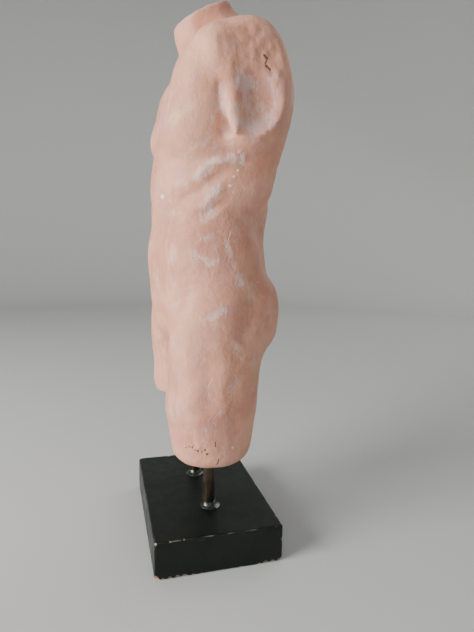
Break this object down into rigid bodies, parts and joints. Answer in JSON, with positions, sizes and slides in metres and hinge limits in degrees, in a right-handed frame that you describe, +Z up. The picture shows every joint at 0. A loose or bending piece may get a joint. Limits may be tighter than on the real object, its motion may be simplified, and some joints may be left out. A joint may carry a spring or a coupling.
{
  "type": "torso anatomy model",
  "caption": "Classical male torso cast for drawing and surface-anatomy study, cut at the neck, shoulders and thighs, standing on two steel rods in a black painted block.",
  "frame": {"origin": "centre of the stand block's underside", "axes": "+Z up along the rods, +X to the figure's left, -Y to the figure's front"},
  "size_m": [0.15, 0.1084, 0.4368],
  "materials": {
    "torso_cast": "cast plaster painted flesh pink, satin, worn to white plaster in places",
    "base_block": "semi-gloss black paint over chipped fibreboard",
    "rod_left": "dark browned steel rod, semi-gloss",
    "rod_right": "dark browned steel rod, semi-gloss",
    "glue_left": "set epoxy under paint, glossy",
    "glue_right": "set epoxy under paint, glossy",
    "washer_left": "zinc-plated steel",
    "washer_right": "zinc-plated steel",
    "nut_left": "zinc-plated steel",
    "nut_right": "zinc-plated steel",
    "sleeve_left": "plain steel tube",
    "sleeve_right": "plain steel tube",
    "rod_stop_left": "plain steel disc",
    "rod_stop_right": "plain steel disc"
  },
  "bodies": {
    "stand": {"base_block": "base_block", "rod_left": "rod_left", "rod_right": "rod_right", "glue_left": "glue_left", "glue_right": "glue_right", "washer_left": "washer_left", "washer_right": "washer_right", "nut_left": "nut_left", "nut_right": "nut_right"},
    "torso": {"torso_cast": "torso_cast", "sleeve_left": "sleeve_left", "sleeve_right": "sleeve_right", "rod_stop_left": "rod_stop_left", "rod_stop_right": "rod_stop_right"}
  },
  "joints": [
    {"name": "torso_lift_off", "type": "slide", "parent": "stand", "child": "torso", "axis": [0, 0, 1], "range_m": [0, 0.12]}
  ]
}
